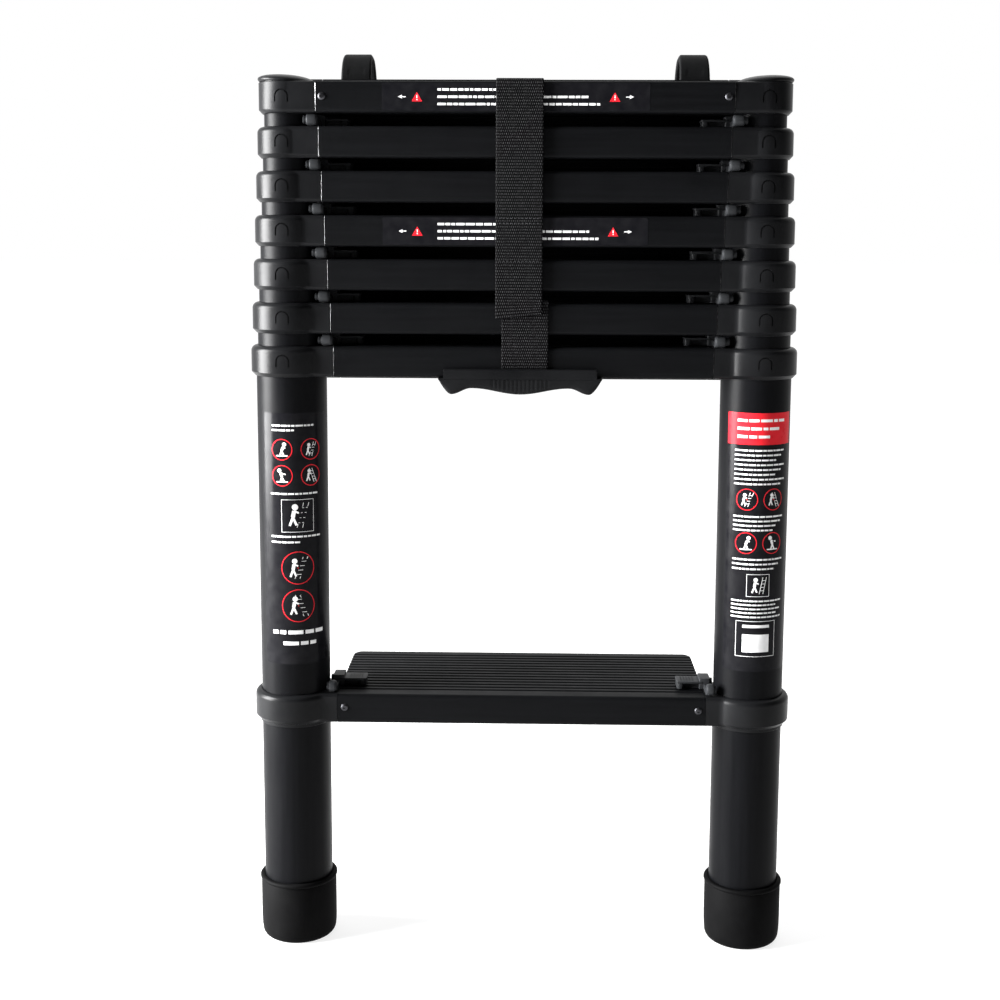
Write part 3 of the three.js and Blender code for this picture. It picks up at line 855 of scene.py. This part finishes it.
def make_handle():
    low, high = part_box("carry_handle")
    floor = RUNG_TOP[2] - RUNG_HEIGHT  # the rung's underside
    reach, lip_reach = half_width("carry_handle"), 66 * MM
    front_wall, back_wall = 5 * MM, 5 * MM
    inner_front, inner_back = low.y + front_wall, high.y - back_wall
    centre_x = (low.x + high.x) / 2
    stations = [s * reach for s in np.linspace(-1, 1, 121)]
    stations += [sign * (lip_reach + d * MM) for sign in (-1, 1) for d in (-0.4, -0.1, 0.1)]
    stations.sort()
    stations[0] += 0.05 * MM
    stations[-1] -= 0.05 * MM
    rows = []
    for x in stations:
        drop = max(handle_bottom(x), 0.6 * MM)
        lip = high.z if abs(x) <= lip_reach else floor + 0.1 * MM
        if lip_reach - 0.3 * MM < abs(x) <= lip_reach:
            lip -= 0.3 * MM
        bottom = floor - drop
        turn = min(4.5 * MM, drop * 0.45)
        ribbed = abs(x) < 27 * MM and int(round((x + 27 * MM) / (1.8 * MM))) % 2 == 0
        rib = 0.35 * MM if ribbed else 0
        edge = min(1.2 * MM, (lip - floor) / 2 + 0.05 * MM)
        notch = max(floor - REAR_LIP - FIT, bottom + 0.3 * MM)  # clears the rung's lower lip
        loop = [(inner_front, floor - FIT), (inner_front, max(lip - edge, floor - FIT))]
        loop += arc((inner_front - edge, lip - edge), edge, 0, 90, 3)
        loop += arc((low.y + edge, lip - edge), edge, 90, 180, 3)
        loop += [(low.y, floor - 0.5 * MM), (low.y + 0.5 * MM + rib, floor - 0.9 * MM)]
        front_turn = arc((low.y + turn + 0.5 * MM, bottom + turn), turn, 180, 270, 6)
        loop += [(y + rib, z) for y, z in front_turn]
        loop += arc((high.y - turn - 0.5 * MM, bottom + turn), turn, -90, 0, 6)
        loop += [(high.y - 0.5 * MM, floor - 0.9 * MM), (high.y, floor - 0.5 * MM)]
        loop += arc((high.y - edge, lip - edge), edge, 0, 90, 3)
        loop += arc((inner_back + edge, lip - edge), edge, 90, 180, 3)
        loop += [(inner_back, max(lip - edge, floor - FIT)), (inner_back, notch)]
        loop += [(LIP_START_Y - FIT, notch), (LIP_START_Y - FIT, floor - FIT)]
        rows.append([(centre_x + x, y, z) for y, z in loop])
    settle(Shape(rows).to_object("carry_handle_moulding", [HANDLE], 40), "root",
           ["carry_handle"])


# --- storage strap

STRAP_HALF = 20 * MM
STRAP_THICK = 1.5 * MM
YARN_ACROSS = 1.8 * MM
YARN_ALONG = 2.5 * MM
YARN_HEIGHT = 0.4 * MM


def smooth_path(points, radius, spacing):
    """A polyline in (y, z) with its corners rounded, as evenly spaced points and their normals."""
    points = [np.array(p, float) for p in points]
    line = [points[0]]
    for before, here, after in zip(points, points[1:], points[2:]):
        back = (before - here) / np.linalg.norm(before - here)
        on = (after - here) / np.linalg.norm(after - here)
        r = min(radius, np.linalg.norm(before - here) / 2, np.linalg.norm(after - here) / 2)
        for t in np.linspace(0, 1, 9):
            near, far = (1 - t) ** 2 * (here + back * r), t**2 * (here + on * r)
            line.append(near + 2 * t * (1 - t) * here + far)
    line.append(points[-1])
    line = np.array(line)
    step = np.r_[0, np.cumsum(np.linalg.norm(np.diff(line, axis=0), axis=1))]
    count = int(step[-1] / spacing) + 1
    along = np.linspace(0, step[-1], count)
    path = np.stack([np.interp(along, step, line[:, i]) for i in (0, 1)], axis=1)
    normal = crosswise(np.gradient(path, axis=0))
    return path, normal, along


def weave(u, v):
    """Height of the weave's yarns, 0 to 1, at a place across and along the strap.

    Every other row of yarn crests is shifted by half a yarn.
    """
    row = np.floor(v / YARN_ALONG)
    warp = np.abs(np.sin(math.pi * (u / YARN_ACROSS + row / 2)))
    weft = np.abs(np.sin(math.pi * v / YARN_ALONG))
    return warp**1.2 * weft**0.8


def webbing_shape(points, centre_x, slant=0.0):
    """A woven strap laid along a path in (y, z): woven relief on both faces and plain edges."""
    path, normal, along = smooth_path(points, 3.5 * MM, YARN_ALONG / 4)
    across = np.linspace(-STRAP_HALF, STRAP_HALF, 74)
    u, v = np.meshgrid(across, along)
    edge = np.clip((STRAP_HALF - np.abs(u)) / (0.7 * MM), 0, 1) ** 0.5
    skewed = np.clip(1 - v / (12 * MM), 0, 1) * slant * (u / STRAP_HALF)
    half = STRAP_THICK / 2 - YARN_HEIGHT
    grids = []
    for face in (1, -1):
        lift = face * (half + YARN_HEIGHT * weave(u + STRAP_HALF, v)) * (0.35 + 0.65 * edge)
        y = path[:, 0][:, None] + normal[:, 0][:, None] * lift
        z = path[:, 1][:, None] + normal[:, 1][:, None] * lift + skewed
        grids.append(np.stack([centre_x + u, y, z], axis=2))
    rows = np.concatenate([grids[0], grids[1][:, ::-1]], axis=1)
    # the weave height, which the webbing colour turns into a painted highlight on the yarn crests
    height = weave(u + STRAP_HALF, v)
    shape = Shape(rows)
    shape.yarn = np.concatenate([height, height[:, ::-1]], axis=1).ravel()
    return shape, along[-1]


def stitch_rows(shape, heights, centre_x, y):
    """Lines of sewing thread across a strap's face."""
    for z in heights:
        for stitch in range(11):
            x = centre_x + (stitch - 5) * 3.2 * MM
            profile = [(x - 1.1 * MM, 0.05 * MM), (x - 0.8 * MM, 0.26 * MM), (x, 0.32 * MM),
                       (x + 0.8 * MM, 0.26 * MM), (x + 1.1 * MM, 0.05 * MM)]
            shape.skin(turned_about_x(profile, y, z, 8))


def rivet_shape(x, z, y):
    """A domed rivet head with its axis along Y and its head towards +Y."""
    radius, proud, sunk = 3.6 * MM, 1.1 * MM, 0.8 * MM
    profile = [(radius - 0.3 * MM, -sunk), (radius - 0.3 * MM, 0)]
    profile += [(radius * math.cos(a), proud * math.sin(a)) for a in np.radians(np.linspace(0, 85, 9))]
    return Shape(turned_about_y(profile, x, y, z, 1, 32))


def make_straps():
    low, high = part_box("storage_strap")
    half = STRAP_THICK / 2
    tail, back = low.y + half, high.y - half
    crest, shelf = high.z - half, high.z - REAR_LIP - half
    centre_x = (low.x + high.x) / 2
    start, end = low.z + 2.2 * MM, RUNG_TOP[8] - 20 * MM
    route = [(tail, start), (tail, shelf), (back - 2 * MM, crest), (back, crest), (back, end)]
    shape, length = webbing_shape(route, centre_x, 2 * MM)
    strap = shape.to_object("storage_strap_webbing", [WEBBING], 60)
    settle(strap, "section_8", ["storage_strap"])
    threads = Shape()
    seams = [RUNG_TOP[8] - RUNG_HEIGHT - d * MM for d in (88, 92, 124)]
    stitch_rows(threads, seams, centre_x, tail - half)
    settle(threads.to_object("strap_stitching", [THREAD]), "section_8")
    for number, side in enumerate((-1, 1), 1):
        rivet = rivet_shape(centre_x + side * 11 * MM, RUNG_TOP[8] - 13 * MM, back + half)
        settle(rivet.to_object(f"strap_rivet_{number}", [STEEL], 40), "section_8")
    low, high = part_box("strap_tab")
    y, centre_x = (low.y + high.y) / 2, (low.x + high.x) / 2
    shape, length = webbing_shape([(y, low.z), (y, (low.z + high.z) / 2), (y, high.z)], centre_x)
    tab = shape.to_object("strap_tab_webbing", [WEBBING], 60)
    settle(tab, "root", ["strap_tab"])


# --- roof hooks


def make_hooks():
    low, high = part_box("right_roof_hook")
    thick, bend = 5 * MM, 24 * MM
    half = thick / 2
    front, back = low.y + half, high.y - half
    crown = high.z - half - bend
    tip = 758 * MM
    centre_x, wide, narrow = (low.x + high.x) / 2, (high.x - low.x) / 2, 12.6 * MM
    path = [(front, z) for z in np.linspace(low.z, crown, 24)]
    path += arc((front + bend, crown), bend, 180, 0, 40)[1:]
    path += [(back, z) for z in np.linspace(crown, tip, 8)][1:]
    path = np.array(path)
    normal = crosswise(np.gradient(path, axis=0))
    shoulder, crown_round, flare = 768 * MM, 5.5 * MM, 7 * MM
    rows = []
    for (y, z), (ny, nz) in zip(path, normal):
        share = np.clip((z - shoulder) / (high.z - shoulder), 0, 1)
        reach = wide - 1.2 * MM - (wide - 1.2 * MM - narrow) * share
        reach += 1.2 * MM * np.clip((low.z + 22 * MM + flare - z) / flare, 0, 1) ** 2
        top = high.z - half * (1 - abs(nz))
        reach -= round_inset(max(top - z - half * abs(nz) + half, 0), crown_round)
        loop = []
        for u in np.linspace(-1, 1, 41):
            x = u * reach
            rim = round_inset((1 - abs(u)) * reach, 1.6 * MM)
            panel = np.clip((reach - 5 * MM - abs(x)) / (2 * MM), 0, 1)
            panel *= np.clip((z - (low.z + 30 * MM)) / (2 * MM), 0, 1)
            panel *= np.clip((crown + 12 * MM - z) / (2 * MM), 0, 1)
            depth = half - rim - (0.25 * MM * panel if y < front + bend / 2 else 0)
            loop.append((centre_x + x, y + ny * depth, z + nz * depth))
        for u in np.linspace(1, -1, 41):
            x = u * reach
            depth = -(half - round_inset((1 - abs(u)) * reach, 1.6 * MM))
            loop.append((centre_x + x, y + ny * depth, z + nz * depth))
        rows.append(loop)
    both_sides(Shape(rows), "roof_hook_coating", section_body(8), [HOOK], "roof_hook",
               crease=50)


# --- screws


def screw_shape(x, z, y):
    """A button-head screw with a hexagon socket, its axis along Y, its head towards -Y."""
    radius, proud = 3.3 * MM, 1.5 * MM
    angles = bearings(48)
    socket = 1.45 * MM / np.cos((angles + math.pi / 6) % (math.pi / 3) - math.pi / 6)
    profile = [(radius, -FIT)]
    profile += [(radius * math.cos(a), proud * math.sin(a)) for a in np.radians(np.linspace(0, 62, 7))]
    profile += [(socket, profile[-1][1]), (socket, 0.1 * MM)]
    return Shape(turned_about_y(profile, x, y, z, -1, len(angles)))


def make_screws():
    for rung, from_joint, below_top in ((8, 5.6 * MM, 12.8 * MM), (1, 6.4 * MM, 12 * MM)):
        screw = screw_shape(JOINT_X[rung] - from_joint, RUNG_TOP[rung] - below_top, FRONT_Y)
        both_sides(screw, f"screw_{rung}", section_body(rung), [STEEL])


# --- labels

FILM_THICK = 0.12  # like everything about the labels, in millimetres
INK_THICK = 0.05
SUNK = 0.02  # how far ink goes into the film
WHITE, RED = 1, 2


class Label:
    """A printed film: flat on a rung's face, or wrapped round a tube. u runs to the right."""

    def __init__(self, place):
        self.place = place  # (u, z, height above the surface) to a point
        self.shape = Shape()

    def base(self, u0, u1, z0, z1, corner=2):
        rows = []
        for u in np.linspace(u0, u1, max(2, int(u1 - u0))):
            cut = round_inset(min(u - u0, u1 - u), corner)
            edges = ((z0 + cut, 0), (z1 - cut, 0), (z1 - cut, FILM_THICK), (z0 + cut, FILM_THICK))
            rows.append([self.place(u, z, h) for z, h in edges])
        self.shape.skin(rows, 0)

    def slab(self, loop, finish):
        """A flat inked outline."""
        heights = (FILM_THICK - SUNK, FILM_THICK + INK_THICK)
        self.shape.skin([[self.place(u, z, h) for u, z in loop] for h in heights], finish)

    def ink(self, edges, finish, closed=False):
        """Ink between two edges, given as (u, z) of the one and of the other. White lies on red."""
        low, high = FILM_THICK - SUNK, FILM_THICK + INK_THICK + (0.03 if finish == WHITE else 0)
        rows = [[self.place(*one, low), self.place(*other, low), self.place(*other, high),
                 self.place(*one, high)] for one, other in edges]
        self.shape.skin(rows, finish, torus=closed)

    def bar(self, u0, u1, z0, z1, finish=WHITE):
        """An inked rectangle, in short lengths so that it follows a round surface."""
        steps = max(2, math.ceil((u1 - u0) / 1.5) + 1)
        self.ink([((u, z0), (u, z1)) for u in np.linspace(u0, u1, steps)], finish)

    def stroke(self, points, width, finish=WHITE, closed=False):
        """An inked line of an even width through (u, z) points."""
        points = np.array(points, float)
        if closed:
            ahead = np.roll(points, -1, axis=0) - np.roll(points, 1, axis=0)
        else:
            ahead = np.gradient(points, axis=0)
        across = crosswise(ahead) * width / 2
        self.ink(list(zip(points - across, points + across)), finish, closed)

    def ring(self, u, z, radius, width, finish=RED):
        self.stroke(arc((u, z), radius, 0, 360, 40)[:-1], width, finish, True)

    def words(self, u0, u1, z, height, seed):
        """A line of dashes that stands for a line of small print."""
        draw = np.random.default_rng(seed)
        u = u0
        while u < u1 - height:
            length = min(height * draw.uniform(1.4, 4.6), u1 - u)
            self.bar(u, u + length, z - height / 2, z + height / 2)
            u += length + height * 0.55

    def triangle(self, u, z, size):
        """A red triangle with a white mark in it."""
        rise, half = size * 0.43, size * 0.045
        self.slab([(u - size / 2, z - rise), (u + size / 2, z - rise), (u, z + rise)], RED)
        for low, high in ((-0.12, 0.16), (-0.3, -0.2)):
            self.bar(u - half, u + half, z + size * low, z + size * high)

    def arrow(self, u, z, length, way):
        tail, tip = u - way * length / 2, u + way * length / 2
        self.bar(min(tail, u), max(tail, u), z - 0.35, z + 0.35)
        self.slab([(u, z - 1.5), (tip, z), (u, z + 1.5)][::way], WHITE)

    def frame(self, u0, u1, z0, z1, width=0.35):
        for sides in ((u0, u1, z0, z0 + width), (u0, u1, z1 - width, z1), (u0, u0 + width, z0, z1),
                      (u1 - width, u1, z0, z1)):
            self.bar(*sides)

    def ladder(self, u, z, high, lean):
        """A ladder from the side: two rails and a few rungs."""
        line, side = 0.5, np.array([high * 0.11, 0])
        foot, head = np.array([u - lean / 2, z - high / 2]), np.array([u + lean / 2, z + high / 2])
        for sign in (-1, 1):
            self.stroke([foot + sign * side, head + sign * side], line)
        for share in (0.2, 0.4, 0.6, 0.8):
            here = foot + (head - foot) * share
            self.stroke([here - side, here + side], line * 0.8)

    def figure(self, u, z, high, lean=0.0):
        """A plain stick figure."""
        head, line = high * 0.13, high * 0.1
        hip, neck = (u, z - high * 0.08), (u + lean * 0.6, z + high * 0.2)
        self.ring(u + lean, z + high * 0.36, head * 0.55, head, WHITE)
        limbs = ((hip, neck, 1.7), (hip, (u - high * 0.14, z - high * 0.46), 1),
                 (hip, (u + high * 0.16, z - high * 0.44), 1),
                 (neck, (u + high * 0.26, z + high * 0.1), 0.8))
        for root, end, share in limbs:
            self.stroke([root, end], line * share)

    def sign(self, u, z, radius, kind, crossed=True):
        """A red ring round a small drawing, with a bar across it."""
        if kind % 2:
            self.ladder(u + radius * 0.2, z, radius * 1.3, radius * 0.5 * (1 if kind % 4 == 1 else -1))
            self.figure(u - radius * 0.3, z, radius * 1.15, radius * 0.1)
        else:
            self.figure(u, z, radius * 1.35, radius * 0.25 * (1 if kind % 4 == 0 else -1))
            self.bar(u - radius * 0.55, u + radius * 0.55, z - radius * 0.62, z - radius * 0.52)
        self.ring(u, z, radius - 0.35, 0.7)
        if crossed:
            reach = (radius - 0.5) * math.sqrt(0.5)
            self.stroke([(u - reach, z + reach), (u, z), (u + reach, z - reach)], 0.6, RED)


def rung_label(rung):
    """The long strip on a rung's front: arrows, triangles and three lines of small print."""
    middle_z = RUNG_TOP[rung] - RUNG_HEIGHT / 2
    label = Label(lambda u, z, h: (u * MM, FRONT_Y - h * MM, middle_z + z * MM))
    low, high = -120.5, 105.5
    label.base(low, high, -11.6, 11.6, 1)
    for way, edge in ((-1, low), (1, high)):
        label.arrow(edge - way * 17, 0, 6.6, way)
        label.triangle(edge - way * 29.6, 0, 9)
    for line, end in ((1, -94), (0, -50), (-1, -42)):
        label.words(low + 47, high + end, line * 6, 1.9, 20 + rung + line)
    return label


def tube_label(side, turn, low, high, half):
    """The wide film round an outer tube, centred at a bearing from straight ahead, in degrees."""

    def place(u, z, h):
        a, reach = math.radians(turn - 90) + u * MM / TUBE_RADIUS[1], TUBE_RADIUS[1] + h * MM
        return (SIDES[side] * RAIL_X + reach * math.cos(a), RAIL_Y + reach * math.sin(a), z * MM)

    label = Label(place)
    label.base(-half, half, low, high, 3)
    return label


def left_label():
    high = 486
    label = tube_label("left", 14.5, 262, high, 33)
    lines = ((11, -22, 16, 1.5), (15, -22, 0, 1.5), (71, -24, 20, 1.5), (109, -24, 22, 1.5),
             (114, -24, 2, 1.5), (195, -24, 24, 3.4), (205, -14, 16, 3.2))
    for down, start, end, height in lines:
        label.words(start, end, high - down, height, down)
    for number, (u, down) in enumerate(((-13, 32), (13, 32), (-13, 55), (13, 55))):
        label.sign(u, high - down, 9.4, number, crossed=u < 0)
    label.frame(-14, 15, high - 105, high - 76)
    label.ladder(5, high - 90, 22, 6)
    label.figure(-4, high - 90, 20, 2)
    label.sign(0, high - 137, 14.8, 1)
    label.sign(0, high - 171, 14.8, 3)
    return label


def right_label():
    high = 489
    label = tube_label("right", 5, 259.5, high, 32)
    label.bar(-32, 32, high - 28, high - 0.4, RED)
    # lines, how far down, spacing, reach, how much each ends sooner, in turns of, height, seed
    paragraphs = ((3, 7, 7, 22, 6, 3, 2.4, 40), (8, 33, 4.2, 24, 5, 3, 1.4, 50),
                  (4, 91, 4, 24, 4, 4, 1.4, 60), (3, 129, 4.2, 24, 5, 3, 1.4, 70),
                  (5, 166, 3.6, 24, 6, 2, 1.3, 80))
    for count, down, spacing, reach, sooner, again, height, seed in paragraphs:
        for row in range(count):
            z = high - down - spacing * row
            label.words(-reach, reach - row % again * sooner, z, height, seed + row)
    for u, down, kind in ((-12, 76, 1), (12, 76, 3), (-12, 114.5, 0), (12, 114.5, 2)):
        label.sign(u, high - down, 9.6, kind)
    label.frame(-10.5, 10, high - 162, high - 142)
    label.ladder(4, high - 152, 15, 3)
    label.figure(-3.5, high - 152, 14, 1)
    label.frame(-19, 17, high - 216, high - 184)
    label.bar(-13, 11, high - 190, high - 187.5)
    label.bar(-13, 11, high - 212, high - 196)
    return label


def make_labels():
    made = [(f"rung_{rung}_label", rung_label(rung), section_body(rung)) for rung in (8, 5)]
    made += [("left_rail_label", left_label(), "root"), ("right_rail_label", right_label(), "root")]
    for name, label, body in made:
        settle(label.shape.to_object(name, [FILM, WHITE_INK, RED_INK]), body)


# --- floor, light and camera


def add_light(name, place, target, size, power):
    data = bpy.data.lights.new(name, "AREA")
    data.shape = "RECTANGLE"
    data.size, data.size_y = size
    data.energy = power
    lamp = add_object(name, data)
    lamp.location = place
    lamp.rotation_euler = (Vector(target) - Vector(place)).to_track_quat("-Z", "Y").to_euler()


def make_floor():
    mesh = bpy.data.meshes.new("studio_floor")
    reach = 30
    corners = [(x * reach, y * reach, 0) for x, y in ((-1, -1), (1, -1), (1, 1), (-1, 1))]
    mesh.from_pydata(corners, [], [(0, 1, 2, 3)])
    n = Nodes("pale_floor")
    paper = n.noise(3, 3)
    tone = n.blend(n.ramp(paper, 0, 1), (0.3, 0.3, 0.3), (0.33, 0.33, 0.33))
    glow = n.finish(Base_Color=tone, Roughness=0.9, Specular_IOR_Level=0, Emission_Color=(1, 1, 1, 1),
                    Emission_Strength=0.8)
    mesh.materials.append(glow)
    add_object("studio_floor", mesh)


def make_world():
    """A white studio whose walls are dark where the climber stands, seen only in reflections."""
    world = bpy.data.worlds.new("studio")
    bpy.context.scene.world = world
    world.use_nodes = True
    nodes, link = world.node_tree.nodes, world.node_tree.links.new
    background = nodes["Background"]
    background.inputs["Color"].default_value = (1, 1, 1, 1)
    way, split, spread, ray, either = (nodes.new(f"ShaderNode{kind}") for kind in (
        "TexCoord", "SeparateXYZ", "MapRange", "LightPath", "Math"))
    for name, value in (("From Min", -0.15), ("From Max", 0.5), ("To Min", 0.04), ("To Max", 1.0)):
        spread.inputs[name].default_value = value
    either.operation = "MAXIMUM"
    link(way.outputs["Generated"], split.inputs[0])
    link(split.outputs["Y"], spread.inputs["Value"])
    link(spread.outputs[0], either.inputs[0])
    link(ray.outputs["Is Camera Ray"], either.inputs[1])
    link(either.outputs[0], background.inputs["Strength"])


def add_sun(strength, lean):
    """Even, very soft light from overhead and a little behind: it whitens the floor."""
    data = bpy.data.lights.new("overhead", "SUN")
    data.energy = strength
    data.angle = math.radians(80)
    lamp = add_object("overhead", data)
    lamp.rotation_euler = (math.radians(-lean), 0, 0)


def make_camera():
    data = bpy.data.cameras.new("camera")
    data.sensor_width = 36
    data.lens = 54.38
    data.shift_x = 0.0032
    data.shift_y = -0.06
    data.clip_start = 0.05
    camera = add_object("camera", data)
    yaw, pitch, roll = 0.02228, 0.13758, 0.0039
    level = math.cos(pitch)
    ahead = Vector((-math.sin(yaw) * level, math.cos(yaw) * level, -math.sin(pitch)))
    right = ahead.cross(Vector((0, 0, 1))).normalized()
    up = right.cross(ahead)
    cosine, sine = math.cos(roll), math.sin(roll)
    right, up = right * cosine + up * sine, up * cosine - right * sine
    camera.matrix_world = Matrix.Translation((6.6 * MM, RAIL_Y - 1324.25 * MM, 643 * MM)) @ Matrix(
        (right, up, -ahead)).transposed().to_4x4()
    bpy.context.scene.camera = camera


# --- the scene

make_tubes()
make_collars()
make_rungs()
make_step()
make_slides()
make_feet()
make_handle()
make_straps()
make_hooks()
make_screws()
make_labels()
make_floor()
make_world()
add_light("key", (-2.36, -0.42, 0.9), (0, 0, 0.42), (1.3, 1.8), 700)
add_light("fill", (2.4, -1.8, 1.2), (0, 0, 0.4), (1.0, 1.6), 1.5)
add_sun(1.0, 25)
make_camera()
bpy.context.scene.view_settings.view_transform = "Standard"
